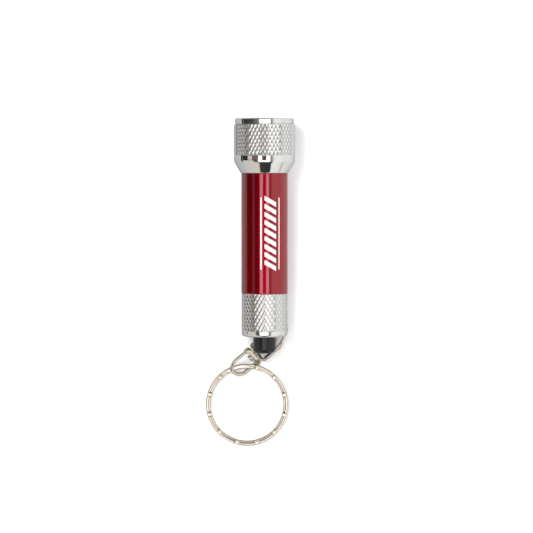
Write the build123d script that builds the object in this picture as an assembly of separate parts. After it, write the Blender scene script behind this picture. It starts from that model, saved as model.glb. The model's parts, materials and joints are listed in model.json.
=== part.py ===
from build123d import *
import math
import os

# Keychain flashlight, lying on its side.  Row frame: +Z up, +Y towards the light's head, millimetres.
# The turned pieces are drawn in the light's own frame, where Z runs along its axis from the tail's end
# face (z = 0) to the head, X is the row's X and Y points down.

# ---- driving dimensions: the light's outside ----
HEAD_R = 9.25
RIM_R = 8.9
BAND_R = 9.2
CONE_R = 7.3
TUBE_R = 7.0
TAIL_R = 6.95
TAIL_TOP = 13.05
TUBE_TOP = 49.35
CONE_TOP = 53.0
BAND_TOP = 54.7
KNURL_TOP = 64.0
HEAD_TOP = 65.75
TAIL_CORNER_R = 0.9
RIM_CORNER_R = 0.3
BUTTON_R = 3.45
BUTTON_OUT = 5.15
BUTTON_FILLET = 1.5

# ---- fits ----
THREAD_GAP = 0.05
RUN_GAP = 0.07
LOOSE_GAP = 0.1

# ---- threads, modelled at their effective radius ----
FRONT_THREAD_R = 6.7
REAR_THREAD_R = 6.2
FRONT_SPIGOT_TOP = 52.8
REAR_SPIGOT_END = 8.0
CAP_THREAD_END = 7.8

# ---- light module ----
LED_COUNT = 5
LED_R = 2.45
LED_FLANGE_R = 2.7
LED_CIRCLE_R = 4.76
LED_FLANGE_THICK = 1.0
LED_SEAT_GAP = 0.05
LED_MOUTH_DEPTH = 0.7
LED_MOUTH_WIDER = 0.3
BOARD_Z = 53.05
BOARD_THICK = 1.2
MODULE_R = 7.9
HEAD_BORE_R = 8.15
LED_TOP = 62.0
HOLDER_TOP = 62.2
LENS_Z = 62.98
LENS_THICK = 1.0
LENS_WINDOW_R = 7.4
LENS_EDGE_R = 0.12
RESISTOR_R = 0.75
RESISTOR_LENGTH = 3.2
RESISTOR_FROM_AXIS = 4.3
FRONT_SPRING = {"radius": 2.6, "wire": 0.25, "turns": 4}

# ---- cells and contacts ----
CELL_R = 5.8
CELL_THICK = 5.4
CELL_COUNT = 4
CELL_STACK_Z = 26.4
CELL_CAP_R = 5.1
CELL_STEP = 0.25
SLEEVE_R = 6.1
SLEEVE_BORE_R = 5.88
SLEEVE_END_R = 4.6
SLEEVE_END_GAP = 0.02
BARREL_BORE_R = 6.15
REAR_BORE_R = 5.6
REAR_BORE_TOP = 14.5
TAIL_SPRING = {"radius": 3.6, "wire": 0.3, "turns": 8}

# ---- tail switch ----
END_WALL = 1.0
POCKET_R = 4.5
FLANGE_R = 4.4
HOUSING_Z = 3.5
HOUSING_TOP = 12.3
HOUSING_R = 5.4
CAP_BORE_R = 5.75
FLANGE_LOW = 1.05
FLANGE_THICK = 0.8
PLUNGER_LOW = 4.0
PLUNGER_RING_LOW = 4.35
STEM_R = 2.0
PLUNGER_RING_R = 4.4
HOUSING_WALL = 0.8
HOUSING_HOLE_R = 2.2
HOUSING_BORE_R = 4.6
HOUSING_SEAT_GAP = 0.02
ROTOR_R = 4.3
ROTOR_LOW = 5.17
ROTOR_THICK = 0.9
ROTOR_HUB_R = 1.5
ROTOR_HUB_TALL = 1.6
ROTOR_NOTCHES = 4
ROTOR_NOTCH = 0.8
SWITCH_SPRING = {"radius": 2.6, "wire": 0.2, "turns": 4}
SWITCH_SPRING_LOW = 6.1
CONTACT_R = 4.55
CONTACT_LOW = 11.1
CONTACT_THICK = 0.6
RETAINER_THICK = 0.8
RETAINER_BOSS_R = 4.5
RETAINER_FOOT_R = 4.2
RETAINER_FOOT_THICK = 0.25
RETAINER_PIN_R = 1.2
RETAINER_PIN_TALL = 0.3

# ---- eyelet and swivel ----
WIRE_R = 0.36
EYELET_R = 0.46
EYELET_ANGLE = -32
EYELET_IN_R = 4.9
EYELET_OUT_Z = 1.75
BAR_THICK = 0.6
BAR_TALL = 1.6
BAR_CORNER_R = 0.35
LOOP_WIDTH = 6.4
RIVET_R = 0.55
RIVET_HEAD_R = 0.95
RIVET_HEAD_THICK = 0.4
RIVET_CORNER_R = 0.2
RIVET_HEADING = 40

# ---- split ring ----
RING_R = 12.5
RING_WIDTH = 1.45
COIL_THICK = 0.7
RING_CENTRE = Vector(-5.35, -20.95)
RING_UPHILL_DEG = 60
RING_TILT = 2.3
RING_STEP_DEG = 28
RING_ENDS_DEG = 118
RING_END_GAP_DEG = 2
COIL_GAP = 0.02
COIL_CORNER_R = 0.2


def polar(radius, degrees):
    """X and Y of a point at a radius and an angle."""
    turn = math.radians(degrees)
    return radius * math.cos(turn), radius * math.sin(turn)


def turned(points):
    """Solid of revolution about Z of an outline given as (radius, height) points."""
    return revolve(Plane.XZ * make_face(Polyline(*points, close=True)), Axis.Z)


def disc(radius, low, high):
    """Plain disc about Z."""
    return Pos(0, 0, low) * Cylinder(radius, high - low, align=(Align.CENTER, Align.CENTER, Align.MIN))


def coil_spring(low, high, radius, wire, turns):
    """Round-wire compression spring about Z."""
    rise = high - low - 2 * wire
    path = Pos(0, 0, low + wire) * Helix(rise / turns, rise, radius)
    section = Plane(origin=path @ 0, z_dir=path % 0) * Circle(wire)
    return sweep(section, path=path, is_frenet=True)


# ---- placing of the light on the table ----
# The head is wider than the tail, so the axis climbs towards the head.
TILT = math.degrees(math.atan2(HEAD_R - TAIL_R, BAND_TOP - TAIL_CORNER_R))
TAIL_HEIGHT = TAIL_R * math.cos(math.radians(TILT)) - TAIL_CORNER_R * math.sin(math.radians(TILT))
LIGHT = Pos(0, 0, TAIL_HEIGHT) * Rot(X=TILT - 90)


def light_point(x, y, z):
    """A point of the light's own frame, in the table frame."""
    return (LIGHT * Pos(x, y, z)).position


# ---- head ----

def make_head_shell():
    shell = turned([
        (FRONT_THREAD_R + THREAD_GAP, TUBE_TOP), (CONE_R, TUBE_TOP), (BAND_R, CONE_TOP),
        (BAND_R, BAND_TOP), (HEAD_R, BAND_TOP), (HEAD_R, KNURL_TOP), (RIM_R, KNURL_TOP),
        (RIM_R, HEAD_TOP), (LENS_WINDOW_R, HEAD_TOP), (LENS_WINDOW_R, LENS_Z + LENS_THICK),
        (HEAD_BORE_R, LENS_Z + LENS_THICK), (HEAD_BORE_R, CONE_TOP), (FRONT_THREAD_R + THREAD_GAP, CONE_TOP),
    ])
    rim_edges = shell.edges().filter_by(GeomType.CIRCLE).group_by(Axis.Z)[-1]
    return fillet(rim_edges, RIM_CORNER_R)


def make_lens():
    lens = disc(HEAD_BORE_R - THREAD_GAP, LENS_Z, LENS_Z + LENS_THICK)
    return fillet(lens.edges().filter_by(GeomType.CIRCLE), LENS_EDGE_R)


def make_lens_seal():
    section_r = (LENS_Z - HOLDER_TOP) / 2
    ring = Torus(MODULE_R - section_r, section_r)
    return Pos(0, 0, HOLDER_TOP + section_r) * ring


def led_places():
    """Centres of the LEDs, one of them towards the top of the lying light."""
    return [polar(LED_CIRCLE_R, -90 + 360 * place / LED_COUNT) for place in range(LED_COUNT)]


def make_led_holder():
    base = BOARD_Z + BOARD_THICK
    holder = disc(MODULE_R, base, HOLDER_TOP)
    for x, y in led_places():
        bore = disc(LED_R + LED_SEAT_GAP, base, HOLDER_TOP)
        seat = disc(LED_FLANGE_R + LED_SEAT_GAP, base, base + LED_FLANGE_THICK + 2 * LED_SEAT_GAP)
        mouth = Pos(0, 0, HOLDER_TOP) * Cone(
            LED_R + LED_SEAT_GAP,
            LED_R + LED_MOUTH_WIDER,
            LED_MOUTH_DEPTH,
            align=(Align.CENTER, Align.CENTER, Align.MAX),
        )
        holder -= Pos(x, y, 0) * (bore + seat + mouth)
    return holder


def make_led(place):
    base = BOARD_Z + BOARD_THICK
    flange_top = base + LED_FLANGE_THICK
    shoulder = LED_TOP - LED_R
    outline = [
        Line((0, base), (LED_FLANGE_R, base)),
        Line((LED_FLANGE_R, base), (LED_FLANGE_R, flange_top)),
        Line((LED_FLANGE_R, flange_top), (LED_R, flange_top)),
        Line((LED_R, flange_top), (LED_R, shoulder)),
        CenterArc((0, shoulder), LED_R, 0, 90),
        Line((0, LED_TOP), (0, base)),
    ]
    led = revolve(Plane.XZ * make_face(outline), Axis.Z)
    x, y = led_places()[place]
    return Pos(x, y, 0) * led


def make_led_board():
    return disc(MODULE_R, BOARD_Z, BOARD_Z + BOARD_THICK)


def make_led_resistor():
    body = Cylinder(RESISTOR_R, RESISTOR_LENGTH, rotation=(0, 90, 0))
    return Pos(0, RESISTOR_FROM_AXIS, BOARD_Z - RESISTOR_R) * body


def make_front_spring():
    return coil_spring(CELL_STACK_Z + CELL_COUNT * CELL_THICK, BOARD_Z, **FRONT_SPRING)


# ---- barrel and cells ----

def make_barrel():
    return turned([
        (REAR_BORE_R, REAR_SPIGOT_END), (REAR_THREAD_R, REAR_SPIGOT_END), (REAR_THREAD_R, TAIL_TOP),
        (TUBE_R, TAIL_TOP), (TUBE_R, TUBE_TOP), (FRONT_THREAD_R, TUBE_TOP),
        (FRONT_THREAD_R, FRONT_SPIGOT_TOP), (BARREL_BORE_R, FRONT_SPIGOT_TOP),
        (BARREL_BORE_R, REAR_BORE_TOP), (REAR_BORE_R, REAR_BORE_TOP),
    ])


def make_battery_sleeve():
    step = CELL_STACK_Z - SLEEVE_END_GAP
    return turned([
        (SLEEVE_END_R, REAR_BORE_TOP), (SLEEVE_R, REAR_BORE_TOP), (SLEEVE_R, TUBE_TOP),
        (SLEEVE_BORE_R, TUBE_TOP), (SLEEVE_BORE_R, step), (SLEEVE_END_R, step),
    ])


def make_cell(place):
    low = CELL_STACK_Z + place * CELL_THICK
    high = low + CELL_THICK
    can_low = low + CELL_STEP
    return turned([
        (0, low), (CELL_CAP_R, low), (CELL_CAP_R, can_low), (CELL_R, can_low), (CELL_R, high), (0, high),
    ])


def make_tail_spring():
    return coil_spring(HOUSING_TOP + RETAINER_THICK + RETAINER_PIN_TALL, CELL_STACK_Z, **TAIL_SPRING)


# ---- tail cap and switch ----

def eyelet_points():
    """Where the eyelet's axis enters the end face and leaves the side wall, in the light's frame."""
    in_x, in_up = polar(EYELET_IN_R, EYELET_ANGLE)
    out_x, out_up = polar(TAIL_R, EYELET_ANGLE)
    return Vector(in_x, -in_up, 0), Vector(out_x, -out_up, EYELET_OUT_Z)


def make_tail_cap():
    bore = REAR_THREAD_R + THREAD_GAP
    cap = turned([
        (BUTTON_R + LOOSE_GAP, 0), (TAIL_R, 0), (TAIL_R, TAIL_TOP), (bore, TAIL_TOP),
        (bore, CAP_THREAD_END), (CAP_BORE_R, CAP_THREAD_END), (CAP_BORE_R, HOUSING_Z),
        (POCKET_R, HOUSING_Z), (POCKET_R, END_WALL), (BUTTON_R + LOOSE_GAP, END_WALL),
    ])
    corner = cap.edges().filter_by(GeomType.CIRCLE).group_by(Axis.Z)[0].sort_by(SortBy.RADIUS)[-1]
    cap = fillet(corner, TAIL_CORNER_R)
    start, end = eyelet_points()
    along = (end - start).normalized()
    drill = extrude(Plane(origin=start - along, z_dir=along) * Circle(EYELET_R), (end - start).length + 2)
    return cap - drill


def make_push_button():
    flange_top = FLANGE_LOW + FLANGE_THICK
    button = turned([
        (0, -BUTTON_OUT), (BUTTON_R, -BUTTON_OUT), (BUTTON_R, FLANGE_LOW), (FLANGE_R, FLANGE_LOW),
        (FLANGE_R, flange_top), (STEM_R, flange_top), (STEM_R, PLUNGER_LOW), (0, PLUNGER_LOW),
    ])
    end_edge = button.edges().filter_by(GeomType.CIRCLE).group_by(Axis.Z)[0]
    return fillet(end_edge, BUTTON_FILLET)


def make_switch_housing():
    low = HOUSING_Z + HOUSING_SEAT_GAP
    floor = HOUSING_Z + HOUSING_WALL
    return turned([
        (HOUSING_HOLE_R, low), (HOUSING_R, low), (HOUSING_R, HOUSING_TOP),
        (HOUSING_BORE_R, HOUSING_TOP), (HOUSING_BORE_R, floor), (HOUSING_HOLE_R, floor),
    ])


def make_switch_plunger():
    ring = PLUNGER_RING_LOW
    top = ring + FLANGE_THICK
    return turned([
        (0, PLUNGER_LOW), (STEM_R, PLUNGER_LOW), (STEM_R, ring), (PLUNGER_RING_R, ring),
        (PLUNGER_RING_R, top), (0, top),
    ])


def make_switch_rotor():
    plate = disc(ROTOR_R, ROTOR_LOW, ROTOR_LOW + ROTOR_THICK)
    rotor = plate + disc(ROTOR_HUB_R, ROTOR_LOW, ROTOR_LOW + ROTOR_HUB_TALL)
    for spoke in range(ROTOR_NOTCHES):
        notch = Pos(ROTOR_R, 0, ROTOR_LOW + ROTOR_THICK / 2) * Box(ROTOR_NOTCH, ROTOR_NOTCH, ROTOR_THICK)
        rotor -= Rot(Z=360 / ROTOR_NOTCHES * spoke) * notch
    return rotor


def make_switch_spring():
    return coil_spring(SWITCH_SPRING_LOW, CONTACT_LOW, **SWITCH_SPRING)


def make_switch_contact():
    return disc(CONTACT_R, CONTACT_LOW, CONTACT_LOW + CONTACT_THICK)


def make_switch_retainer():
    top = HOUSING_TOP + RETAINER_THICK
    plate = disc(HOUSING_R, HOUSING_TOP, top)
    boss = disc(RETAINER_BOSS_R, CONTACT_LOW + CONTACT_THICK, HOUSING_TOP)
    pin = disc(RETAINER_PIN_R, top, top + RETAINER_PIN_TALL)
    foot = disc(RETAINER_FOOT_R, top, top + RETAINER_FOOT_THICK)
    return plate + boss + pin + foot


# ---- swivel ----
# The rivet's axis is level.  Each loop lies on its own side of it and is rolled about it, so that one
# arm is higher than the other.
RIVET_AXIS = Vector(*polar(1, RIVET_HEADING))
ACROSS = Vector(*polar(1, RIVET_HEADING - 90))
UP = Vector(0, 0, 1)
LOWER_ROLL = -42
UPPER_ROLL = 20
SWIVEL_HEIGHT = WIRE_R + LOOP_WIDTH / 2 * math.sin(math.radians(abs(LOWER_ROLL))) + 0.02
UPPER_BAR = Vector(-2.4, -5.15, SWIVEL_HEIGHT)
BAR_SPACING = 1.28
LOWER_BAR = UPPER_BAR - RIVET_AXIS * BAR_SPACING
LOWER_LENGTH = 7.9


def rolled(roll):
    """Direction along a loop's crossbar, towards its near end, after a roll about the rivet's axis."""
    turn = math.radians(roll)
    return ACROSS * math.cos(turn) + UP * math.sin(turn)


def make_crossbar(centre, roll):
    """Flat crossbar with the rivet's hole."""
    frame = Plane(origin=centre, x_dir=rolled(roll), z_dir=RIVET_AXIS)
    bar = Box(LOOP_WIDTH + 2 * WIRE_R, BAR_TALL, BAR_THICK)
    bar = fillet(bar.edges().filter_by(Axis.Z), BAR_CORNER_R)
    bar -= Cylinder(RIVET_R + RUN_GAP, 2 * BAR_THICK)
    return frame.location * bar


def wire_sweep(points, radii):
    """Round wire along runs joined by tangent arcs."""
    path = FilletPolyline(*points, radius=radii)
    section = Plane(origin=path @ 0, z_dir=path % 0) * Circle(WIRE_R)
    return sweep(section, path=path)


def upper_bail_route():
    """From the crossbar's far end, under the button, through the eyelet and back to its near end."""
    start, end = (light_point(*point) for point in eyelet_points())
    along = (end - start).normalized()
    wanted = Vector(0.1, -0.5, -0.85)
    back = (wanted - along * wanted.dot(along)).normalized()
    across = rolled(UPPER_ROLL)
    far_end = UPPER_BAR - across * LOOP_WIDTH / 2
    near_end = UPPER_BAR + across * LOOP_WIDTH / 2
    leave = start - along * 0.75
    turn = end + along * 1.1
    returned = turn + back * 1.9
    return [
        far_end,
        Vector(2.2, -1.8, 2.2),
        leave,
        turn,
        returned,
        Vector(4.7, -3.1, 2.7),
        near_end,
    ]


def make_upper_bail():
    wire = wire_sweep(upper_bail_route(), [1.0, 0.6, 0.94, 0.94, 1.6])
    return make_crossbar(UPPER_BAR, UPPER_ROLL) + wire


def lower_bail_route():
    across = rolled(LOWER_ROLL)
    reach = LOWER_BAR - RIVET_AXIS * LOWER_LENGTH
    half = across * LOOP_WIDTH / 2
    return [LOWER_BAR - half, reach - half, reach + half, LOWER_BAR + half]


def make_lower_bail():
    bend = LOOP_WIDTH / 2 - 0.05
    wire = wire_sweep(lower_bail_route(), [bend, bend])
    return make_crossbar(LOWER_BAR, LOWER_ROLL) + wire


def make_swivel_rivet():
    frame = Plane(origin=LOWER_BAR, z_dir=RIVET_AXIS)
    low = -BAR_THICK / 2 - RUN_GAP
    high = BAR_SPACING + BAR_THICK / 2
    shank = disc(RIVET_R, low, high)
    collar = disc(RIVET_HEAD_R, BAR_THICK / 2 + RUN_GAP, BAR_SPACING - BAR_THICK / 2)
    head = disc(RIVET_HEAD_R, low - RIVET_HEAD_THICK, low)
    tail = disc(RIVET_HEAD_R, high, high + RIVET_HEAD_THICK)
    rivet = shank + collar + head + tail
    ends = rivet.edges().filter_by(GeomType.CIRCLE).group_by(Axis.Z)
    rivet = fillet(ends[0] + ends[-1], RIVET_CORNER_R)
    return frame.location * rivet


# ---- split ring ----

def ring_frame():
    """The ring's own frame: its lowest point is on the table, and it rises a little towards the light."""
    uphill = Vector(*polar(1, RING_UPHILL_DEG))
    tilt = math.radians(RING_TILT)
    normal = UP * math.cos(tilt) - uphill * math.sin(tilt)
    centre = Vector(RING_CENTRE.X, RING_CENTRE.Y, RING_R * math.sin(tilt) + 0.01)
    return Plane(origin=centre, x_dir=uphill * math.cos(tilt) + UP * math.sin(tilt), z_dir=normal)


def coil_section(level):
    """Section of the ring's wire at angle 0, as a face in the XZ plane."""
    section = RectangleRounded(RING_WIDTH, COIL_THICK - COIL_GAP, COIL_CORNER_R)
    return Plane.XZ * Pos(RING_R - RING_WIDTH / 2, level) * section


def make_split_ring():
    low = COIL_THICK / 2
    high = 1.5 * COIL_THICK
    mid_r = RING_R - RING_WIDTH / 2
    lower = revolve(coil_section(low), Axis.Z, 360 - RING_STEP_DEG)
    upper = revolve(coil_section(high), Axis.Z, 360 - RING_STEP_DEG - RING_END_GAP_DEG)
    climb = []
    for share in (0, 0.25, 0.5, 0.75, 1):
        x, y = polar(mid_r, -RING_STEP_DEG * (1 - share))
        climb.append(Vector(x, y, low + (high - low) * (3 * share ** 2 - 2 * share ** 3)))
    start_tangent = Vector(*polar(1, 90 - RING_STEP_DEG))
    path = Spline(*climb, tangents=[start_tangent, Vector(0, 1, 0)])
    section = Rot(Z=-RING_STEP_DEG) * coil_section(low)
    step = sweep(section, path=path, normal=UP)
    coil = lower + step + upper
    return Rot(Z=RING_ENDS_DEG) * coil


# ---- assembly ----

def build_nodes():
    """Every node by name, in the table frame."""
    along_light = {
        "head_shell": make_head_shell(),
        "lens": make_lens(),
        "lens_seal": make_lens_seal(),
        "led_holder": make_led_holder(),
        "led_board": make_led_board(),
        "led_resistor": make_led_resistor(),
        "front_spring": make_front_spring(),
        "barrel": make_barrel(),
        "battery_sleeve": make_battery_sleeve(),
        "tail_spring": make_tail_spring(),
        "tail_cap": make_tail_cap(),
        "push_button": make_push_button(),
        "switch_housing": make_switch_housing(),
        "switch_plunger": make_switch_plunger(),
        "switch_rotor": make_switch_rotor(),
        "switch_spring": make_switch_spring(),
        "switch_contact": make_switch_contact(),
        "switch_retainer": make_switch_retainer(),
    }
    for place in range(LED_COUNT):
        along_light[f"led_{place + 1}"] = make_led(place)
    for place in range(CELL_COUNT):
        along_light[f"cell_{place + 1}"] = make_cell(place)
    nodes = {name: LIGHT * shape for name, shape in along_light.items()}
    nodes["upper_bail"] = make_upper_bail()
    nodes["lower_bail"] = make_lower_bail()
    nodes["swivel_rivet"] = make_swivel_rivet()
    nodes["split_ring"] = ring_frame().location * make_split_ring()
    return nodes


def table_to_row(nodes):
    """Shift that puts the row's origin at the middle of the object's base."""
    box = Compound(children=[Part(shape.wrapped) for shape in nodes.values()]).bounding_box()
    return Pos(-box.center().X, -box.center().Y, -box.min.Z)


NODES = build_nodes()
TO_ROW = table_to_row(NODES)

os.makedirs("parts", exist_ok=True)
for node_name, node_shape in NODES.items():
    export_step(TO_ROW * node_shape, f"parts/{node_name}.step")
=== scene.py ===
import json
import math

import bmesh
import bpy
import numpy as np
from mathutils import Matrix, Vector


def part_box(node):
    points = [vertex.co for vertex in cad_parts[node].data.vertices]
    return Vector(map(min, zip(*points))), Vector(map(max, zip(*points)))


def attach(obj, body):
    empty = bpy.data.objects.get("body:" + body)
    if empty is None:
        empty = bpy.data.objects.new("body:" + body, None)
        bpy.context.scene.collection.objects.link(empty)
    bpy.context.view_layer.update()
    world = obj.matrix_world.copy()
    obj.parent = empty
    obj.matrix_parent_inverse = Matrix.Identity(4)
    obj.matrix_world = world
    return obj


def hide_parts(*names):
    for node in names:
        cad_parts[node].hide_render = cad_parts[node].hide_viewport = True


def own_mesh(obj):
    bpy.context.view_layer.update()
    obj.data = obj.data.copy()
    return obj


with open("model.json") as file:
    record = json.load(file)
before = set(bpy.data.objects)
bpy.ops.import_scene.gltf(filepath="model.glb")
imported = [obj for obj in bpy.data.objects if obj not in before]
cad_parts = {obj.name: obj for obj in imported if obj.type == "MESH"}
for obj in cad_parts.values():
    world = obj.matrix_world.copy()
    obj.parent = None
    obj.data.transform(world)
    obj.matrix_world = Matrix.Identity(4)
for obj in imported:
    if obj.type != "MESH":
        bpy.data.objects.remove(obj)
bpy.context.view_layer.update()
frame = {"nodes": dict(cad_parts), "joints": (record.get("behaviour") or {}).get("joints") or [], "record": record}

# A keychain flashlight lying on a table.  The lengths of its pieces are millimetres, and MM turns them into
# the frame's metres.  Turned pieces are drawn along the light's axis, from the tail's end face.  The studio's
# lengths are metres.
MM = 0.001
JOINTS = {joint["name"]: joint for joint in frame["joints"]}
NODES = frame["nodes"]

# ---- the light's own frame: Z runs from the tail's end face to the head, X is the frame's X ----
KNURL_TOP = 64.0
AXIS = Vector(JOINTS["head_turn"]["axis"])
TAIL_FACE = Vector(JOINTS["head_turn"]["pos_m"]) - AXIS * KNURL_TOP * MM
SIDE = Vector((1, 0, 0))
DOWN = AXIS.cross(SIDE)
LIGHT = Matrix.Translation(TAIL_FACE) @ Matrix((SIDE, DOWN, AXIS)).transposed().to_4x4()

# ---- head ----
HEAD_R = 9.25
BAND_R = 9.2
RIM_R = 8.9
BAND_TOP = 54.7
HEAD_TOP = 65.75
HEAD_BORE_R = 8.15
HEAD_THREAD_R = 6.75
HEAD_KNURLS = 48
HEAD_KNURL_RISE = 2.26
CONE_R = 7.3
CONE_SLOPE_DEG = 29
CONE_CORNER_R = 1.6
CONE_CORNER_Z = 53.15
RIM_CORNER_R = 0.28
LENS_SEAT_Z = 63.99

# ---- tail cap ----
TAIL_R = 6.95
TAIL_TOP = 13.05
TAIL_KNURL_LOW = 1.95
TAIL_KNURLS = 36
TAIL_KNURL_RISE = 2.2
TAIL_CORNER_R = 0.9
CAP_THREAD_END = 7.8
CAP_THREAD_R = 6.25
EYELET_R = 0.46
EYELET_INSET = 4.9
EYELET_REACH = 1.75

# ---- knurling ----
KNURL_CELLS = 8
HEAD_KNURL = {"flat": 0.3, "depth": 0.15}
TAIL_KNURL = {"flat": 0.15, "depth": 0.15}

# ---- barrel ----
TUBE_R = 7.0
TUBE_TOP = 49.35
THREAD_PITCH = 0.75

# ---- button ----
BUTTON_R = 3.45
BUTTON_OUT = 5.15
BUTTON_FILLET = 1.5

# ---- switch spring ----
SWITCH_SPRING_R = 2.6
SWITCH_SPRING_WIRE = 0.4
SWITCH_SPRING_LOW = 6.1
SWITCH_SPRING_TOP = 11.1
SWITCH_SPRING_TURNS = 4

# ---- swivel ----
WIRE = 0.84
BAR_SPACING = 1.28
LOOP_WIDTH = 6.4
LOWER_LENGTH = 7.9
RIVET_AXIS = Vector(JOINTS["swivel_spin"]["axis"])
LOWER_BAR = Vector(JOINTS["swivel_spin"]["pos_m"])
UPPER_BAR = LOWER_BAR + RIVET_AXIS * BAR_SPACING * MM
LOWER_ROLL = -42
UPPER_ROLL = 20
UP = Vector((0, 0, 1))
ACROSS = RIVET_AXIS.cross(UP).normalized()
# Below the tail's end face, on the table, and how far the upper loop goes through its eyelet.
TAIL_FOOT = Vector((TAIL_FACE.x, TAIL_FACE.y, 0)) / MM
TAIL_EXIT = math.hypot(TAIL_R - EYELET_INSET, EYELET_REACH)
# Sections of the loops: width, thickness, squareness and groove depth.
LOWER_BAR_SECTION = (1.5, 1.3, 6, 0)
LOWER_ARM_SECTION = (1.0, 0.95, 2.8, 0.1)
UPPER_BAR_SECTION = (1.5, 0.9, 6, 0)
UPPER_ARM_SECTION = (1.45, 1.25, 3.5, 0.3)
ROUND_SECTION = (WIRE, WIRE, 2, 0)

# ---- split ring ----
RING_R = 12.5
RING_WIDTH = 1.45
COIL_THICK = 0.7
COIL_GAP = 0.02
STRAND_WIDTH = 0.86
STRAND_SHIFT = 0.28
PAD_EXTRA_WIDTH = 0.57
PAD_RISE = 0.16
PAD_HALF_DEG = 1.5
PAD_SLOPE_DEG = 1.9
PAD_EVERY_DEG = 30
CRIMP_START_DEG = 14.7
STRAND_SINK = 0.05
CLIMB_SLOPE_DEG = 6
CLIMB_WIDENING = 0.8
RING_STEPS = 3
RING_STEP_DEG = 28
RING_ENDS_DEG = 118
RING_END_GAP_DEG = 4

# ---- generic print on the tube: places round the tube from its top, and along it ----
BAR_SLANT = 0.55
BAR_PITCH = 2.4
BAR_SHARE = (0.16, 0.72)
BARS_ROUND = (0.0, 3.6)
BARS_ALONG = (21.6, 43.2)
LINES_ROUND = [(4.5, 4.85), (-1.25, -0.9)]
LINES_ALONG = (20.5, 42.0)

# ---- camera ----
VIEW_HEIGHT = 0.7455
HALF_VIEW_DEG = 6.17
CAMERA_SIDEWAYS = 0.58
CAMERA_ALONG = 21.08


def smooth_step(low, high, value):
    """0 below low, 1 above high, and smooth between."""
    share = np.clip((value - low) / (high - low), 0, 1)
    return share * share * (3 - 2 * share)


# ======== mesh helpers ========

def add_mesh(name, points, faces, place=Matrix.Identity(4), sharp_deg=32):
    """Mesh object from points in millimetres, placed by a matrix and smooth except at sharp edges."""
    mesh = bpy.data.meshes.new(name)
    mesh.from_pydata([place @ (Vector(point) * MM) for point in points], [], faces)
    mesh.validate()
    fix_normals(mesh)
    mesh.shade_smooth()
    mesh.set_sharp_from_angle(angle=math.radians(sharp_deg))
    piece = bpy.data.objects.new(name, mesh)
    bpy.context.scene.collection.objects.link(piece)
    return piece


def fix_normals(mesh):
    """Turns every face outwards."""
    work = bmesh.new()
    work.from_mesh(mesh)
    bmesh.ops.remove_doubles(work, verts=work.verts, dist=1e-7)
    bmesh.ops.recalc_face_normals(work, faces=work.faces)
    work.to_mesh(mesh)
    work.free()


def arc(centre, radius, start_deg, end_deg, steps):
    """Points of an arc in a turned outline."""
    turns = [math.radians(start_deg + (end_deg - start_deg) * i / steps) for i in range(steps + 1)]
    return [(centre[0] + radius * math.cos(t), centre[1] + radius * math.sin(t)) for t in turns]


def knurl_row_radii(crest, starts, level, flat, depth):
    """Radius at each place round a diamond-knurled row.  Two families of V grooves cross."""
    around = np.arange(starts * KNURL_CELLS)
    grooves = [np.abs(2 * (((around + sign * level) / KNURL_CELLS) % 1) - 1) for sign in (1, -1)]
    cut = np.maximum(*grooves)
    return crest - depth * np.clip((cut - flat) / (1 - flat), 0, 1)


def knurl_rows(crest, starts, rise, low, high, flat, depth):
    """Rows of a knurled band from low to high, a whole number of knurl cells."""
    count = round((high - low) / rise * KNURL_CELLS)
    return [(knurl_row_radii(crest, starts, level, flat, depth), low + (high - low) * level / count, level)
            for level in range(count + 1)]


def thread_rows(crest, low, high, around, depth=0.3):
    """Rows of a screw thread, whose height round the row climbs by one pitch each turn."""
    per_pitch = 8
    count = round((high - low) / THREAD_PITCH * per_pitch)
    rows = []
    for level in range(count + 1):
        z = low + (high - low) * level / count
        phase = z / THREAD_PITCH - np.arange(around) / around
        ridge = np.clip(1.35 * np.abs(2 * (phase % 1) - 1) - 0.15, 0, 1)
        rows.append((crest - depth * ridge, z, None))
    return rows


def turned_rows(name, rows, around, closed=True, sharp_deg=32, place=LIGHT):
    """Turned mesh from rows of (radius or radii, height, knurl level or None)."""
    turns = 2 * math.pi * np.arange(around) / around
    points = []
    for radii, z, _ in rows:
        radii = np.broadcast_to(radii, around)
        points.extend(zip(radii * np.cos(turns), radii * np.sin(turns), np.full(around, z)))
    faces = []
    pairs = list(zip(range(len(rows)), range(1, len(rows))))
    if closed:
        pairs.append((len(rows) - 1, 0))
    for low, high in pairs:
        knurled = rows[low][2] is not None and rows[high][2] is not None
        for i in range(around):
            j = (i + 1) % around
            quad = (low * around + i, low * around + j, high * around + j, high * around + i)
            if knurled:
                faces.extend(split_along_groove(quad, i, rows[low][2]))
            else:
                faces.append(quad)
    if not closed:
        faces.append(tuple(range(around)))
        faces.append(tuple((len(rows) - 1) * around + i for i in range(around)))
    return add_mesh(name, points, faces, place, sharp_deg)


def split_along_groove(quad, column, level):
    """Two triangles whose shared edge runs along the nearer groove, so that grooves stay straight."""
    rising = abs(2 * (((column + level + 1) / KNURL_CELLS) % 1) - 1)
    falling = abs(2 * (((column - level) / KNURL_CELLS) % 1) - 1)
    a, b, c, d = quad
    if rising >= falling:
        return (a, b, d), (b, c, d)
    return (a, b, c), (a, c, d)


def plain(outline):
    """Turned rows without a knurl, from (radius, height) points."""
    return [(radius, z, None) for radius, z in outline]


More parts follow.
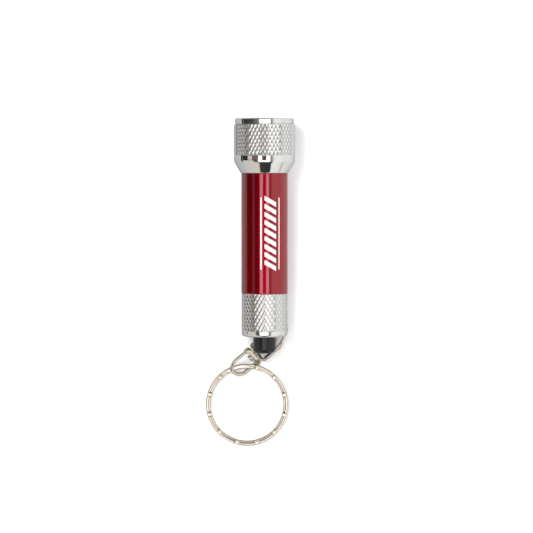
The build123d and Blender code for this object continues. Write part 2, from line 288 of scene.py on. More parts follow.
def cut_hole(piece, start, along, radius, length):
    """Drills a round hole through a piece, from start along a direction."""
    sides = 32
    turns = [2 * math.pi * i / sides for i in range(sides)]
    ring = [(radius * math.cos(t), radius * math.sin(t)) for t in turns]
    points = [(x, y, 0) for x, y in ring] + [(x, y, length) for x, y in ring]
    faces = [(i, (i + 1) % sides, sides + (i + 1) % sides, sides + i) for i in range(sides)]
    faces += [tuple(range(sides)), tuple(range(sides, 2 * sides))]
    place = Matrix.Translation(start) @ along.to_track_quat("Z", "Y").to_matrix().to_4x4()
    drill = add_mesh(piece.name + "_drill", points, faces, place)
    cut = piece.modifiers.new("hole", "BOOLEAN")
    cut.object = drill
    cut.solver = "EXACT"
    bpy.context.view_layer.update()
    cut_mesh = bpy.data.meshes.new_from_object(piece.evaluated_get(bpy.context.evaluated_depsgraph_get()))
    piece.modifiers.clear()
    piece.data = cut_mesh
    bpy.data.objects.remove(drill)
    piece.data.shade_smooth()
    piece.data.set_sharp_from_angle(angle=math.radians(32))


def rounded_path(points, radii, closed=False, step=0.12):
    """Points in millimetres along straight runs joined by tangent arcs."""
    count = len(points)
    corners = range(count) if closed else range(1, count - 1)
    path = [] if closed else [points[0]]
    for corner, radius in zip(corners, radii):
        here = points[corner]
        back = (points[corner - 1] - here).normalized()
        ahead = (points[(corner + 1) % count] - here).normalized()
        half = back.angle(ahead) / 2
        middle = here + (back + ahead).normalized() * radius / math.sin(half)
        start = here + back * radius / math.tan(half)
        turn = math.pi - 2 * half
        pieces = max(3, round(turn * radius / step))
        spin_axis = (start - middle).cross(here + ahead * radius / math.tan(half) - middle).normalized()
        for i in range(pieces + 1):
            path.append(middle + Matrix.Rotation(turn * i / pieces, 3, spin_axis) @ (start - middle))
    if not closed:
        path.append(points[-1])
    return spread_out(path, closed, step)


def spread_out(path, closed, step):
    """Fills long runs with points, so that a section can change along them."""
    ends = path[1:] + path[:1] if closed else path[1:]
    filled = []
    for here, there in zip(path, ends):
        pieces = max(1, round((there - here).length / (2 * step)))
        filled.extend(here.lerp(there, i / pieces) for i in range(pieces))
    if not closed:
        filled.append(path[-1])
    return filled


def strip(name, path, wide, section, closed, sides=20, place=Matrix.Identity(4)):
    """Bar bent along a path.  wide gives the section's broad direction and section gives its width,
    thickness, squareness and groove depth, all at each point of the path."""
    count = len(path)
    points = []
    for i, here in enumerate(path):
        before = path[i - 1] if closed or i else here
        after = path[(i + 1) % count] if closed or i < count - 1 else here
        along = (after - before).normalized()
        broad = wide(i)
        broad = (broad - along * broad.dot(along)).normalized()
        thin = along.cross(broad)
        width, thickness, square, groove = section(i)
        for side in range(sides):
            turn = 2 * math.pi * (side + 0.5) / sides
            x = math.copysign(abs(math.cos(turn)) ** (2 / square), math.cos(turn)) * width / 2
            y = math.copysign(abs(math.sin(turn)) ** (2 / square), math.sin(turn)) * thickness / 2
            y *= 1 - groove * math.exp(-(x / (0.16 * width)) ** 2)
            points.append(here + broad * x + thin * y)
    faces = []
    for i in range(count if closed else count - 1):
        j = (i + 1) % count
        for side in range(sides):
            beside = (side + 1) % sides
            faces.append((i * sides + side, i * sides + beside, j * sides + beside, j * sides + side))
    if not closed:
        faces.append(tuple(range(sides)))
        faces.append(tuple((count - 1) * sides + side for side in range(sides)))
    return add_mesh(name, points, faces, place, sharp_deg=50)


# ======== materials ========

def add_node(tree, kind, **settings):
    """A new shader node with its settings."""
    made = tree.nodes.new(kind)
    for key, value in settings.items():
        setattr(made, key, value)
    return made


class Shader:
    """A Principled material and short ways to add nodes to it."""

    def __init__(self, name, **inputs):
        self.material = bpy.data.materials.new(name)
        self.material.use_nodes = True
        self.tree = self.material.node_tree
        self.surface = self.tree.nodes["Principled BSDF"]
        self.place = self.node("ShaderNodeTexCoord").outputs["Object"]
        for socket, value in inputs.items():
            self.surface.inputs[socket.replace("_", " ")].default_value = value

    def node(self, kind, **settings):
        return add_node(self.tree, kind, **settings)

    def link(self, source, target):
        self.tree.links.new(source, target)

    def maths(self, operation, *values, clamp=False):
        made = self.node("ShaderNodeMath", operation=operation, use_clamp=clamp)
        for socket, value in zip(made.inputs, values):
            if hasattr(value, "is_linked"):
                self.link(value, socket)
            else:
                socket.default_value = value
        return made.outputs[0]

    def noise(self, scale, detail=3.0, roughness=0.5, stretch=(1, 1, 1)):
        spread = self.node("ShaderNodeMapping")
        spread.inputs["Scale"].default_value = stretch
        self.link(self.place, spread.inputs["Vector"])
        made = self.node("ShaderNodeTexNoise")
        made.inputs["Scale"].default_value = scale
        made.inputs["Detail"].default_value = detail
        made.inputs["Roughness"].default_value = roughness
        self.link(spread.outputs[0], made.inputs["Vector"])
        return made.outputs["Fac"]

    def range(self, value, low, high, to_low, to_high):
        made = self.node("ShaderNodeMapRange")
        for socket, number in zip(("From Min", "From Max", "To Min", "To Max"), (low, high, to_low, to_high)):
            made.inputs[socket].default_value = number
        self.link(value, made.inputs["Value"])
        return made.outputs[0]

    def mix(self, share, first, second):
        made = self.node("ShaderNodeMix", data_type="RGBA")
        for socket, value in ((made.inputs[0], share), (made.inputs[6], first), (made.inputs[7], second)):
            if hasattr(value, "is_linked"):
                self.link(value, socket)
            else:
                socket.default_value = value
        return made.outputs[2]

    def bump(self, height, strength, distance=0.0001):
        made = self.node("ShaderNodeBump")
        made.inputs["Strength"].default_value = strength
        made.inputs["Distance"].default_value = distance
        self.link(height, made.inputs["Height"])
        self.link(made.outputs[0], self.surface.inputs["Normal"])

    def along_light(self):
        """Distance along the light's axis in metres from the tail's end face, and the two offsets."""
        back = self.node("ShaderNodeVectorMath", operation="SUBTRACT")
        self.link(self.place, back.inputs[0])
        back.inputs[1].default_value = TAIL_FACE
        found = []
        for direction in (AXIS, SIDE, DOWN):
            dot = self.node("ShaderNodeVectorMath", operation="DOT_PRODUCT")
            self.link(back.outputs[0], dot.inputs[0])
            dot.inputs[1].default_value = direction
            found.append(dot.outputs["Value"])
        return found


def turning_marks(shader, strength):
    """Fine rings that a lathe tool leaves round the light's axis."""
    height = shader.along_light()[0]
    rings = shader.node("ShaderNodeTexNoise", noise_dimensions="1D")
    rings.inputs["Scale"].default_value = 9000
    rings.inputs["Detail"].default_value = 3
    shader.link(height, rings.inputs["W"])
    shader.bump(rings.outputs["Fac"], strength, 0.00002)


def knurl_painted_groove_shade(shader, radius, height, crest, knurl, low, high):
    """Mask of painted shade: 1 at the bottom of a knurl's grooves and 0 on its crests."""
    deep = shader.range(radius, (crest - knurl["depth"]) * MM, (crest - 0.25 * knurl["depth"]) * MM, 1, 0)
    return shader.maths("MULTIPLY", deep, within(shader, height, low * MM, high * MM, 0.00001))


def plated_metal():
    shader = Shader("plated_metal", Metallic=1.0, Specular_Tint=(0.8, 0.8, 0.8, 1))
    tone = shader.mix(shader.noise(220, 4), (0.64, 0.635, 0.62, 1), (0.58, 0.575, 0.57, 1))
    height, across, down = shader.along_light()
    squares = shader.maths("ADD", shader.maths("POWER", across, 2), shader.maths("POWER", down, 2))
    radius = shader.maths("SQRT", squares)
    # Painted shade: the base colour darkens to a dull grey at the bottom of the knurl grooves.
    head_painted_groove_shade = knurl_painted_groove_shade(shader, radius, height, HEAD_R, HEAD_KNURL, BAND_TOP, KNURL_TOP)
    tail_painted_groove_shade = knurl_painted_groove_shade(shader, radius, height, TAIL_R, TAIL_KNURL, TAIL_KNURL_LOW, TAIL_TOP)
    painted_groove_shade = shader.maths("ADD", head_painted_groove_shade, tail_painted_groove_shade)
    shader.link(shader.mix(painted_groove_shade, tone, (0.46, 0.455, 0.445, 1)), shader.surface.inputs["Base Color"])
    smear = shader.noise(700, 5, 0.6)
    shader.link(shader.range(smear, 0.3, 0.75, 0.015, 0.045), shader.surface.inputs["Roughness"])
    turning_marks(shader, 0.012)
    return shader.material


def bare_metal():
    shader = Shader("bare_metal", Base_Color=(0.62, 0.62, 0.63, 1), Metallic=1.0)
    smear = shader.noise(900, 4)
    shader.link(shader.range(smear, 0.3, 0.7, 0.25, 0.4), shader.surface.inputs["Roughness"])
    turning_marks(shader, 0.4)
    return shader.material


def round_and_along(shader):
    """Place on the tube in millimetres: round it from its top, and along it from the tail's end face."""
    height, across, down = shader.along_light()
    angle = shader.maths("ARCTAN2", across, shader.maths("MULTIPLY", down, -1))
    sideways = shader.maths("MULTIPLY", angle, TUBE_R)
    height = shader.maths("DIVIDE", height, MM)
    return sideways, height


def within(shader, value, low, high, soft=0.03):
    """1 where value is between low and high, with a soft edge."""
    rise = shader.range(value, low - soft, low + soft, 0, 1)
    fall = shader.range(value, high - soft, high + soft, 1, 0)
    return shader.maths("MULTIPLY", rise, fall)


def red_anodised():
    shader = Shader("red_anodised", Metallic=1.0, Coat_Weight=1.0, Coat_Roughness=0.03, Coat_IOR=1.5,
                    Specular_Tint=(0.5, 0.2, 0.2, 1))
    sideways, height = round_and_along(shader)
    slant = shader.maths("ADD", height, shader.maths("MULTIPLY", sideways, BAR_SLANT))
    step = shader.maths("FRACT", shader.maths("DIVIDE", slant, BAR_PITCH))
    bars = within(shader, step, *BAR_SHARE, 0.02)
    bars = shader.maths("MULTIPLY", bars, within(shader, sideways, *BARS_ROUND))
    bars = shader.maths("MULTIPLY", bars, within(shader, slant, *BARS_ALONG))
    lines = shader.maths("ADD", *(within(shader, sideways, *sides) for sides in LINES_ROUND))
    lines = shader.maths("MULTIPLY", lines, within(shader, height, *LINES_ALONG))
    ink = shader.maths("ADD", bars, lines, clamp=True)
    worn = shader.range(shader.noise(5200, 3), 0.66, 0.72, 1, 0.75)
    ink = shader.maths("MULTIPLY", ink, worn)
    tone = shader.mix(shader.noise(160, 3), (0.27, 0.0008, 0.010, 1), (0.235, 0.0006, 0.008, 1))
    shader.link(shader.mix(ink, tone, (0.82, 0.80, 0.79, 1)), shader.surface.inputs["Base Color"])
    shader.link(shader.range(ink, 0, 1, 1, 0.05), shader.surface.inputs["Metallic"])
    smear = shader.range(shader.noise(900, 4), 0.3, 0.7, 0.27, 0.33)
    roughness = shader.maths("ADD", smear, shader.maths("MULTIPLY", ink, 0.25))
    shader.link(roughness, shader.surface.inputs["Roughness"])
    grain = shader.maths("ADD", shader.noise(6000, 2), shader.maths("MULTIPLY", ink, 1.5))
    shader.bump(grain, 0.12, 0.00001)
    return shader.material


def black_plastic():
    shader = Shader("black_plastic", Specular_IOR_Level=0.3)
    tone = shader.noise(500, 4)
    shader.link(shader.mix(tone, (0.004, 0.004, 0.004, 1), (0.009, 0.009, 0.009, 1)),
                shader.surface.inputs["Base Color"])
    shader.link(shader.range(shader.noise(1500, 4), 0.3, 0.7, 0.12, 0.18),
                shader.surface.inputs["Roughness"])
    shader.bump(shader.noise(5200, 3), 0.25, 0.00002)
    return shader.material


def nickel_wire():
    shader = Shader("nickel_wire", Metallic=1.0, Specular_Tint=(0.4, 0.36, 0.3, 1))
    tone = shader.noise(600, 4)
    shader.link(shader.mix(tone, (0.62, 0.565, 0.48, 1), (0.52, 0.47, 0.39, 1)),
                shader.surface.inputs["Base Color"])
    shader.link(shader.range(shader.noise(2500, 5), 0.3, 0.75, 0.06, 0.16),
                shader.surface.inputs["Roughness"])
    shader.bump(shader.noise(3500, 4), 0.15, 0.00002)
    return shader.material


def clear(name, tint, roughness, smear):
    """Clear plastic or resin with a faint haze."""
    shader = Shader(name, Base_Color=tint, Transmission_Weight=1.0, IOR=1.49)
    shader.link(shader.range(shader.noise(smear, 4), 0.3, 0.7, roughness, roughness + 0.05),
                shader.surface.inputs["Roughness"])
    return shader.material


def moulded(name, light_tone, dark_tone, low_rough, high_rough, metallic=0.0):
    """Plain inner material with colour variation and a fine grain."""
    shader = Shader(name, Metallic=metallic)
    shader.link(shader.mix(shader.noise(700, 4), light_tone, dark_tone), shader.surface.inputs["Base Color"])
    shader.link(shader.range(shader.noise(1800, 4), 0.3, 0.7, low_rough, high_rough),
                shader.surface.inputs["Roughness"])
    shader.bump(shader.noise(4500, 3), 0.2, 0.00002)
    return shader.material


MATERIALS = {
    "plated_metal": plated_metal(),
    "bare_metal": bare_metal(),
    "red_anodised": red_anodised(),
    "black_plastic": black_plastic(),
    "nickel_wire": nickel_wire(),
    "clear_window": clear("clear_window", (0.97, 0.98, 0.98, 1), 0.0, 400),
    "led_resin": clear("led_resin", (0.93, 0.94, 0.90, 1), 0.03, 900),
    "reflector_plastic": moulded("reflector_plastic", (0.82, 0.82, 0.83, 1), (0.70, 0.71, 0.73, 1),
                                 0.08, 0.18, 1.0),
    "seal_rubber": moulded("seal_rubber", (0.03, 0.03, 0.03, 1), (0.015, 0.015, 0.015, 1), 0.6, 0.8),
    "board": moulded("board", (0.03, 0.16, 0.07, 1), (0.02, 0.11, 0.05, 1), 0.3, 0.5),
    "resistor_body": moulded("resistor_body", (0.62, 0.50, 0.32, 1), (0.50, 0.40, 0.26, 1), 0.35, 0.5),
    "spring_steel": moulded("spring_steel", (0.68, 0.66, 0.62, 1), (0.50, 0.48, 0.45, 1), 0.15, 0.3, 1.0),
    "sleeve_plastic": moulded("sleeve_plastic", (0.80, 0.79, 0.75, 1), (0.72, 0.71, 0.68, 1), 0.4, 0.55),
    "switch_plastic": moulded("switch_plastic", (0.07, 0.07, 0.075, 1), (0.04, 0.04, 0.045, 1), 0.4, 0.55),
    "contact_brass": moulded("contact_brass", (0.80, 0.58, 0.24, 1), (0.66, 0.46, 0.18, 1), 0.2, 0.35, 1.0),
    "cell_steel": moulded("cell_steel", (0.70, 0.70, 0.70, 1), (0.58, 0.58, 0.59, 1), 0.18, 0.32, 1.0),
}


def dress(piece, body, replaced, slot):
    """Gives a new piece its material, the body it rides on and the node it stands for."""
    piece.data.materials.clear()
    piece.data.materials.append(MATERIALS[slot])
    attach(piece, body)
    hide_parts(replaced)


# ======== turned pieces ========

def make_head():
    """The head's casing.  Rows close to each corner keep the normals of the long runs straight."""
    around = HEAD_KNURLS * KNURL_CELLS
    slope = math.radians(CONE_SLOPE_DEG)
    corner = (BAND_R - CONE_CORNER_R, CONE_CORNER_Z)
    cone_low = (CONE_R, TUBE_TOP + 0.1)
    cone_high = (corner[0] + CONE_CORNER_R * math.cos(slope), corner[1] - CONE_CORNER_R * math.sin(slope))
    rows = plain([(HEAD_THREAD_R, TUBE_TOP), (CONE_R - 0.1, TUBE_TOP), cone_low])
    for share in (0.04, 0.5, 0.96):
        rows += plain([tuple(a + (b - a) * share for a, b in zip(cone_low, cone_high))])
    rows += plain(arc(corner, CONE_CORNER_R, -CONE_SLOPE_DEG, 0, 6))
    rows += plain([(BAND_R, CONE_CORNER_Z + 0.15), (BAND_R, BAND_TOP - 0.2), (BAND_R, BAND_TOP - 0.1)])
    rows += plain([(BAND_R - 0.03, BAND_TOP - 0.02)])
    rows += knurl_rows(HEAD_R, HEAD_KNURLS, HEAD_KNURL_RISE, BAND_TOP, KNURL_TOP - 0.08, **HEAD_KNURL)
    rows += plain([(RIM_R - 0.15, KNURL_TOP - 0.02), (RIM_R - 0.15, KNURL_TOP + 0.16)])
    rows += plain([(RIM_R, KNURL_TOP + 0.24), (RIM_R, KNURL_TOP + 0.34), (RIM_R, HEAD_TOP - 0.38)])
    rows += plain(arc((RIM_R - RIM_CORNER_R, HEAD_TOP - RIM_CORNER_R), RIM_CORNER_R, 0, 90, 5))
    rows += plain([(7.62, HEAD_TOP), (7.42, HEAD_TOP - 0.2), (7.4, LENS_SEAT_Z)])
    rows += plain([(HEAD_BORE_R, LENS_SEAT_Z), (HEAD_BORE_R, 53.0), (HEAD_THREAD_R, 53.0)])
    piece = turned_rows("head_casing", rows, around, sharp_deg=24)
    dress(piece, "head", "head_shell", "plated_metal")


def make_tail_cap():
    """The tail cap, with the eyelet that the upper loop goes through."""
    around = TAIL_KNURLS * KNURL_CELLS
    rows = plain([(CAP_THREAD_R, CAP_THREAD_END), (CAP_THREAD_R, TAIL_TOP)])
    rows += plain([(TAIL_R - 0.2, TAIL_TOP), (TAIL_R - 0.12, TAIL_TOP - 0.1)])
    knurled = knurl_rows(TAIL_R, TAIL_KNURLS, TAIL_KNURL_RISE, TAIL_KNURL_LOW, TAIL_TOP - 0.12, **TAIL_KNURL)
    rows += knurled[::-1]
    band = TAIL_R - 0.02
    rows += plain([(TAIL_R - 0.1, TAIL_KNURL_LOW - 0.08), (band, TAIL_KNURL_LOW - 0.18)])
    rows += plain([(band, TAIL_KNURL_LOW - 0.3), (band, TAIL_CORNER_R + 0.12)])
    rows += plain(arc((band - TAIL_CORNER_R, TAIL_CORNER_R), TAIL_CORNER_R, 0, -90, 10))
    rows += plain([(3.63, 0), (3.55, 0.08), (3.55, 1.0), (4.5, 1.0), (4.5, 3.5), (5.75, 3.5)])
    rows += plain([(5.75, CAP_THREAD_END)])
    piece = turned_rows("tail_casing", rows, around, sharp_deg=24)
    swing = JOINTS["bail_swing"]
    along = Vector(swing["axis"])
    cut_hole(piece, Vector(swing["pos_m"]) - along * MM, along, EYELET_R, 5)
    dress(piece, "tail_cap", "tail_cap", "plated_metal")


def make_barrel():
    """The red tube, with a bare threaded spigot at each end."""
    around = 192
    rows = plain([(5.6, 14.5), (5.6, 8.0), (5.95, 8.0)])
    rows += thread_rows(6.2, 8.25, 12.25, around)
    rows += plain([(5.9, 12.45), (5.9, TAIL_TOP), (6.88, TAIL_TOP), (6.97, TAIL_TOP + 0.03)])
    rows += plain([(TUBE_R, TAIL_TOP + 0.12), (TUBE_R, TAIL_TOP + 0.3)])
    rows += plain([(TUBE_R, TUBE_TOP - 0.3), (TUBE_R, TUBE_TOP - 0.12)])
    rows += plain([(6.97, TUBE_TOP - 0.03), (6.88, TUBE_TOP)])
    rows += plain([(6.4, TUBE_TOP), (6.4, TUBE_TOP + 0.25)])
    rows += thread_rows(6.7, TUBE_TOP + 0.45, 52.3, around)
    rows += plain([(6.4, 52.8), (6.15, 52.8), (6.15, 14.5)])
    piece = turned_rows("tube_body", rows, around, sharp_deg=28)
    dress(piece, "barrel", "barrel", "red_anodised")
    piece.data.materials.append(MATERIALS["bare_metal"])
    to_light = LIGHT.inverted()
    for face in piece.data.polygons:
        place = to_light @ face.center
        on_tube = place.xy.length > (TUBE_R - 0.14) * MM and TAIL_TOP * MM < place.z < TUBE_TOP * MM
        face.material_index = 0 if on_tube else 1


def make_button():
    """The push button with its round end and the collar that holds it in."""
    rows = plain([(0.9, -BUTTON_OUT + 0.02), (BUTTON_R - BUTTON_FILLET, -BUTTON_OUT)])
    rows += plain(arc((BUTTON_R - BUTTON_FILLET, -BUTTON_OUT + BUTTON_FILLET), BUTTON_FILLET, -90, 0, 12)[1:])
    rows += plain([(BUTTON_R, 1.05), (4.4, 1.05), (4.4, 1.85), (2.0, 1.85), (2.0, 4.0)])
    piece = turned_rows("button_cap", rows, 96, closed=False)
    dress(piece, "button", "push_button", "black_plastic")


# ======== swivel and split ring ========

def rolled(roll):
    """Direction along a loop's crossbar towards its near end, rolled about the rivet's axis."""
    turn = math.radians(roll)
    return ACROSS * math.cos(turn) + UP * math.sin(turn)


def loop_section(path, centre, outward, bar, arm, eyelet_from):
    """Section along a loop: a flat crossbar, then arms, then round wire from eyelet_from outwards."""
    stages = [(bar, 0), (arm, 1.5), (ROUND_SECTION, eyelet_from)]

    def section(i):
        reach = (path[i] - centre).dot(outward)
        mixed = np.array(stages[0][0], dtype=float)
        for sizes, start in stages[1:]:
            share = float(smooth_step(start - 0.7, start, reach))
            mixed += (np.array(sizes) - mixed) * share
        return tuple(mixed)
    return section


def make_lower_bail():
    """The loop that holds the split ring, drilled for the rivet."""
    across = rolled(LOWER_ROLL)
    centre = LOWER_BAR / MM
    outward = -RIVET_AXIS
    half = across * LOOP_WIDTH / 2
    reach = centre + outward * LOWER_LENGTH
    bend = LOOP_WIDTH / 2 - 0.05
    corners = [centre - half, reach - half, reach + half, centre + half]
    path = rounded_path(corners, [0.6, bend, bend, 0.6], closed=True)
    normal = RIVET_AXIS.cross(across)
    never = 2 * LOWER_LENGTH
    section = loop_section(path, centre, outward, LOWER_BAR_SECTION, LOWER_ARM_SECTION, never)
    piece = strip("lower_loop", path, lambda i: normal, section, True)
    cut_hole(piece, LOWER_BAR - RIVET_AXIS * 2 * MM, RIVET_AXIS, 0.62, 4)
    dress(piece, "lower_bail", "lower_bail", "nickel_wire")


def upper_bail_points():
    """From the crossbar's far end, under the button, through the eyelet and back to its near end."""
    swing = JOINTS["bail_swing"]
    along = Vector(swing["axis"])
    start = Vector(swing["pos_m"]) / MM
    end = start + along * TAIL_EXIT
    wanted = Vector((0.1, -0.5, -0.85))
    back = (wanted - along * wanted.dot(along)).normalized()
    across = rolled(UPPER_ROLL) * LOOP_WIDTH / 2
    centre = UPPER_BAR / MM
    tail = TAIL_FOOT
    turn = end + along * 1.1
    return [centre - across, tail + Vector((2.2, -1.8, 2.2)), start - along * 0.75, turn, turn + back * 1.9,
            tail + Vector((4.7, -3.1, 2.7)), centre + across]


def make_upper_bail():
    """The loop through the tail cap's eyelet, drilled for the rivet."""
    points = upper_bail_points()
    path = rounded_path(points, [0.55, 1.0, 0.6, 0.94, 0.94, 1.6, 0.55], closed=True)
    centre = UPPER_BAR / MM
    section = loop_section(path, centre, RIVET_AXIS, UPPER_BAR_SECTION, UPPER_ARM_SECTION, 7.8)
    normals = [RIVET_AXIS.cross(rolled(UPPER_ROLL))] * len(path)
    for i in range(1, len(path)):
        along = (path[(i + 1) % len(path)] - path[i]).normalized()
        normals[i] = (normals[i - 1] - along * normals[i - 1].dot(along)).normalized()
    piece = strip("upper_loop", path, lambda i: normals[i], section, True)
    cut_hole(piece, UPPER_BAR - RIVET_AXIS * 2 * MM, RIVET_AXIS, 0.55, 4)
    dress(piece, "upper_bail", "upper_bail", "nickel_wire")


def make_rivet():
    """The rivet through both crossbars, with a head at each end."""
    outline = [(0.2, -1.65), (0.75, -1.63), (0.98, -1.53), (1.05, -1.4), (1.05, -1.08), (0.95, -0.95),
               (0.62, -0.93), (0.62, -0.7), (0.55, -0.68), (0.55, 1.76), (0.95, 1.76), (0.98, 1.82),
               (0.93, 1.96), (0.75, 2.05), (0.2, 2.06)]
    place = Matrix.Translation(LOWER_BAR) @ RIVET_AXIS.to_track_quat("Z", "Y").to_matrix().to_4x4()
    piece = turned_rows("rivet", plain(outline), 40, closed=False, place=place)
    dress(piece, "upper_bail", "swivel_rivet", "nickel_wire")


def ring_matrix():
    """The split ring's own frame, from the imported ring: its flat is the plane that fits it best."""
    corners = np.array([vertex.co for vertex in NODES["split_ring"].data.vertices])
    middle = (corners.max(0) + corners.min(0)) / 2
    normal = np.linalg.svd(corners - corners.mean(0), full_matrices=False)[2][2]
    normal = Vector(normal if normal[2] > 0 else -normal)
    side = (SIDE - normal * SIDE.dot(normal)).normalized()
    turn = Matrix((side, normal.cross(side), normal)).transposed().to_4x4()
    return Matrix.Translation(Vector(middle)) @ turn


def make_split_ring():
    """Two turns of wire side by side, pressed flat and full width at twelve raised pads.  The level along the
    wire goes from -0.5 in the lower turn to 0.5 in the upper one."""
    middle = RING_R - RING_WIDTH / 2
    climb = 360 - RING_STEP_DEG
    total = 720 - RING_STEP_DEG - RING_END_GAP_DEG
    path = []
    sizes = []
    for i in range(round(total * RING_STEPS) + 1):
        degrees = i / RING_STEPS
        level = -0.5 + float(smooth_step(climb, 360, degrees))
        place = RING_ENDS_DEG + degrees
        half = PAD_EVERY_DEG / 2
        to_pad = abs((place - CRIMP_START_DEG + half) % PAD_EVERY_DEG - half)
        pad = 1 - float(smooth_step(PAD_HALF_DEG, PAD_HALF_DEG + PAD_SLOPE_DEG, to_pad))
        started = float(smooth_step(climb - CLIMB_SLOPE_DEG, climb, degrees))
        climbing = started * (1 - float(smooth_step(360, 360 + CLIMB_SLOPE_DEG, degrees)))
        wide = max(pad, CLIMB_WIDENING * climbing)
        pad *= 1 - climbing
        radius = middle + 2 * level * STRAND_SHIFT * (1 - wide)
        lift = (PAD_RISE * pad - STRAND_SINK * (1 - pad)) * (level + 0.5)
        turn = math.radians(place)
        path.append(Vector((radius * math.cos(turn), radius * math.sin(turn), level * COIL_THICK + lift)))
        sizes.append((STRAND_WIDTH + PAD_EXTRA_WIDTH * wide, COIL_THICK - COIL_GAP, 2.3 + 1.7 * wide, 0))
    piece = strip("key_ring", path, lambda i: Vector((path[i].x, path[i].y, 0)).normalized(),
                  lambda i: sizes[i], False, 20, ring_matrix())
    dress(piece, "ring", "split_ring", "nickel_wire")


# ======== carried-over nodes ========

def dress_nodes():
    """Gives every CAD node its detailed material, by the record's slots."""
    for part in frame["record"]["subparts"]:
        node = NODES[part["node"]]
        node.data.materials.clear()
        node.data.materials.append(MATERIALS[part["material_slot"]])


def make_switch_spring():
    """The switch's return spring."""
    low = SWITCH_SPRING_LOW + SWITCH_SPRING_WIRE / 2
    high = SWITCH_SPRING_TOP - SWITCH_SPRING_WIRE / 2
    steps = 36
    count = SWITCH_SPRING_TURNS * steps
    path = []
    for i in range(count + 1):
        turn = 2 * math.pi * i / steps
        rise = low + (high - low) * i / count
        path.append(Vector((SWITCH_SPRING_R * math.cos(turn), SWITCH_SPRING_R * math.sin(turn), rise)))
    piece = strip("return_spring", path, lambda i: Vector((path[i].x, path[i].y, 0)).normalized(),
                  lambda i: (SWITCH_SPRING_WIRE, SWITCH_SPRING_WIRE, 2, 0), False, 12, LIGHT)
    dress(piece, "switch_module", "switch_spring", "spring_steel")
    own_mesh(piece)


def make_led_insides():
    """The lead frame's cup inside each LED."""
    outline = [(1.5, -2.6), (1.5, -1.2), (0.95, -1.2), (0.75, -1.45), (0.2, -1.45)]
    for number in range(1, 6):
        low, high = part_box(f"led_{number}")
        place = LIGHT @ Matrix.Translation(LIGHT.inverted() @ ((low + high) / 2))
        piece = turned_rows(f"led_cup_{number}", plain(outline), 32, closed=False, place=place)
        piece.data.materials.append(MATERIALS["spring_steel"])
        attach(piece, "light_module")


# ======== studio ========

def make_floor():
    """The pale table."""
    bpy.ops.mesh.primitive_grid_add(x_subdivisions=4, y_subdivisions=4, size=3)
    floor = bpy.context.object
    floor.name = "floor"
    shader = Shader("floor", Base_Color=(0.93, 0.93, 0.93, 1), Roughness=0.9)
    shader.link(shader.mix(shader.noise(30, 3), (0.94, 0.94, 0.94, 1), (0.92, 0.92, 0.92, 1)),
                shader.surface.inputs["Base Color"])
    floor.data.materials.append(shader.material)


# Brightness of the cards on the table, from left to right.
CARDS_HALF = 0.6
CARDS_LIFT = 0.0002
FLOOR_MIRRORED = [(-0.6, 0.05), (-0.084, 0.05), (-0.076, 0.9), (-0.014, 0.75), (0, 0.4), (0.012, 0.7),
                  (0.03, 1.1), (0.08, 1.25), (0.6, 1.2)]


def make_floor_cards():
    """Dark and pale cards that lie on the table.  Only the mirroring metal sees them."""
    bpy.ops.mesh.primitive_grid_add(x_subdivisions=2, y_subdivisions=2, size=2 * CARDS_HALF,
                                    location=(0, 0, CARDS_LIFT))
    cards = bpy.context.object
    cards.name = "floor_cards"
    shader = Shader("floor_cards", Roughness=1.0, Specular_IOR_Level=0.0, Emission_Strength=1.0)
    split = shader.node("ShaderNodeSeparateXYZ")
    shader.link(shader.place, split.inputs[0])
    share = shader.range(split.outputs["X"], -CARDS_HALF, CARDS_HALF, 0, 1)
    ramp = shader.node("ShaderNodeValToRGB")
    set_stops(ramp, [((x + CARDS_HALF) / (2 * CARDS_HALF), level) for x, level in FLOOR_MIRRORED])
    shader.link(share, ramp.inputs["Fac"])
    beside = shader.range(split.outputs["Y"], TAIL_FACE.y - 0.02, TAIL_FACE.y - 0.01, 0, 1)
    shader.link(shader.mix(beside, (0.85, 0.85, 0.85, 1), ramp.outputs["Color"]),
                shader.surface.inputs["Emission Color"])
    shader.surface.inputs["Base Color"].default_value = (0, 0, 0, 1)
    cards.data.materials.append(shader.material)
    for kind in ("camera", "diffuse", "transmission", "shadow", "volume_scatter"):
        setattr(cards, "visible_" + kind, False)


def set_stops(ramp, stops):
    """Colour ramp stops from (place, grey or tint)."""
    elements = ramp.color_ramp.elements
    while len(elements) < len(stops):
        elements.new(0.5)
    for element, (place, tint) in zip(elements, stops):
        element.position = place
        element.color = (*tint, 1) if isinstance(tint, tuple) else (tint, tint, tint, 1)


def area_light(name, place, size, power):
    """A square light that faces the part.  The metal mirrors the room and the cards instead of it."""
    data = bpy.data.lights.new(name, "AREA")
    data.shape = "SQUARE"
    data.size = size
    data.energy = power
    lamp = bpy.data.objects.new(name, data)
    bpy.context.scene.collection.objects.link(lamp)
    lamp.location = place
    lamp.rotation_euler = (-Vector(place)).to_track_quat("-Z", "Y").to_euler()
    lamp.visible_glossy = False


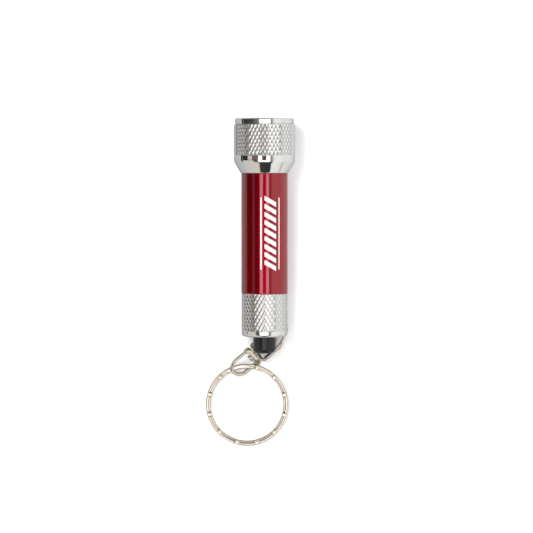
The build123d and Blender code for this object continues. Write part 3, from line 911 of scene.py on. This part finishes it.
# What the metal mirrors.  Each row of the room is one tilt towards the head, in degrees, and its stops
# go round from the left horizon over the top to the right one: degrees from straight up, and grey or tint.
TAN = (0.95, 0.91, 0.80)
RED = (0.42, 0.01, 0.02)
FAR_RIGHT = [(33, 0.9), (40, 1.33), (60, 1.3), (90, 1.15), (104, 0.95), (180, 0.9)]
ROOM = [
    [(-180, 0.8), (-100, 0.85), (-60, TAN), (-35, TAN), (-30, 0.07), (38, 0.05), (43, 1.2)] + FAR_RIGHT[2:],
    [(-180, 0.8), (-100, 0.9), (-47, TAN), (-42, 0.15), (-28, 0.13), (-22, 2.2), (18, 2.2), (23, 0.3),
     (28, 0.35)] + FAR_RIGHT,
    [(-180, 0.8), (-110, 0.02), (-66, (0.05, 0, 0)), (-60, 0.45), (-54, 0.45), (-48, RED), (-26, RED),
     (-21, 4.2), (-11, 4.2), (-7, RED), (6, RED), (10, 4.2), (20, 4.2), (24, 0.2), (28, 0.02)] + FAR_RIGHT,
    [(-180, 0.8), (-110, 0.04), (-68, 0.05), (-65, TAN), (-50, TAN), (-47, 0.2), (-25, 0.2),
     (-22, 2.2), (-12, 2.2), (-10, 0.12), (6, 0.12), (8, 2.2), (19, 2.2), (23, 0.25)] + FAR_RIGHT,
    [(-180, 0.8), (-110, 0.04), (-50, 0.08), (-26, 0.3), (-22, 0.4), (-20, 1.9), (23, 1.9),
     (25, 0.3), (28, 0.35)] + FAR_RIGHT,
    [(-180, 0.8), (-100, 0.85), (-60, 0.6), (-27, 0.5), (22, 0.5), (27, 1.0)] + FAR_RIGHT[1:],
    [(-180, 0.4), (-100, 0.3), (-60, 0.12), (22, 0.12), (60, 0.3), (180, 0.4)],
]
ROOM_BLENDS = [(-38, -30), (-1.25, -0.95), (2.3, 2.38), (2.95, 3.05), (8, 18), (40, 55)]


def make_world():
    """A studio with white cards, dark gaps and two strips of light, as a function of direction."""
    world = bpy.data.worlds.new("studio")
    bpy.context.scene.world = world
    world.use_nodes = True
    tree = world.node_tree

    def node(kind, **settings):
        return add_node(tree, kind, **settings)

    def mapped(source, low, high, shape="LINEAR"):
        made = node("ShaderNodeMapRange", interpolation_type=shape)
        made.inputs["From Min"].default_value = low
        made.inputs["From Max"].default_value = high
        tree.links.new(source, made.inputs["Value"])
        return made.outputs[0]

    split = node("ShaderNodeSeparateXYZ")
    tree.links.new(node("ShaderNodeTexCoord").outputs["Generated"], split.inputs[0])
    over = node("ShaderNodeMath", operation="ARCTAN2")
    tree.links.new(split.outputs["X"], over.inputs[0])
    tree.links.new(split.outputs["Z"], over.inputs[1])
    over = mapped(over.outputs[0], -math.pi, math.pi)
    # The light's axis climbs, so its mirror images sink towards the tail by this much at the top.
    sink = node("ShaderNodeMath", operation="MULTIPLY_ADD")
    tree.links.new(split.outputs["Z"], sink.inputs[0])
    sink.inputs[1].default_value = AXIS.z
    sink.inputs[2].default_value = AXIS.z
    level = node("ShaderNodeMath", operation="ADD")
    tree.links.new(split.outputs["Y"], level.inputs[0])
    tree.links.new(sink.outputs[0], level.inputs[1])
    tilt = node("ShaderNodeMath", operation="ARCSINE")
    tree.links.new(level.outputs[0], tilt.inputs[0])

    colour = None
    for number, stops in enumerate(ROOM):
        ramp = node("ShaderNodeValToRGB")
        set_stops(ramp, [((degrees + 180) / 360, tint) for degrees, tint in stops])
        tree.links.new(over, ramp.inputs["Fac"])
        if colour is None:
            colour = ramp.outputs["Color"]
            continue
        low, high = (math.radians(degrees) for degrees in ROOM_BLENDS[number - 1])
        mix = node("ShaderNodeMix", data_type="RGBA")
        tree.links.new(mapped(tilt.outputs[0], low, high, "SMOOTHSTEP"), mix.inputs[0])
        tree.links.new(colour, mix.inputs[6])
        tree.links.new(ramp.outputs["Color"], mix.inputs[7])
        colour = mix.outputs[2]
    tree.links.new(colour, tree.nodes["Background"].inputs["Color"])


def make_camera():
    """Looks straight down on the lying light from about three quarters of a metre."""
    data = bpy.data.cameras.new("camera")
    data.sensor_width = 36
    data.lens = data.sensor_width / 2 / math.tan(math.radians(HALF_VIEW_DEG))
    camera = bpy.data.objects.new("camera", data)
    bpy.context.scene.collection.objects.link(camera)
    camera.location = TAIL_FACE + Vector((CAMERA_SIDEWAYS * MM, CAMERA_ALONG * MM, VIEW_HEIGHT))
    camera.rotation_euler = (0, 0, 0)
    bpy.context.scene.camera = camera


make_camera()
make_world()
make_floor()
make_floor_cards()
area_light("key", place=(-0.24, 0.18, 0.64), size=0.26, power=3.0)
area_light("overhead", place=(0, 0, 0.95), size=0.9, power=1.7)
bpy.context.scene.view_settings.view_transform = "Standard"

dress_nodes()
make_head()
make_tail_cap()
make_barrel()
make_button()
make_lower_bail()
make_upper_bail()
make_rivet()
make_split_ring()
make_switch_spring()
make_led_insides()
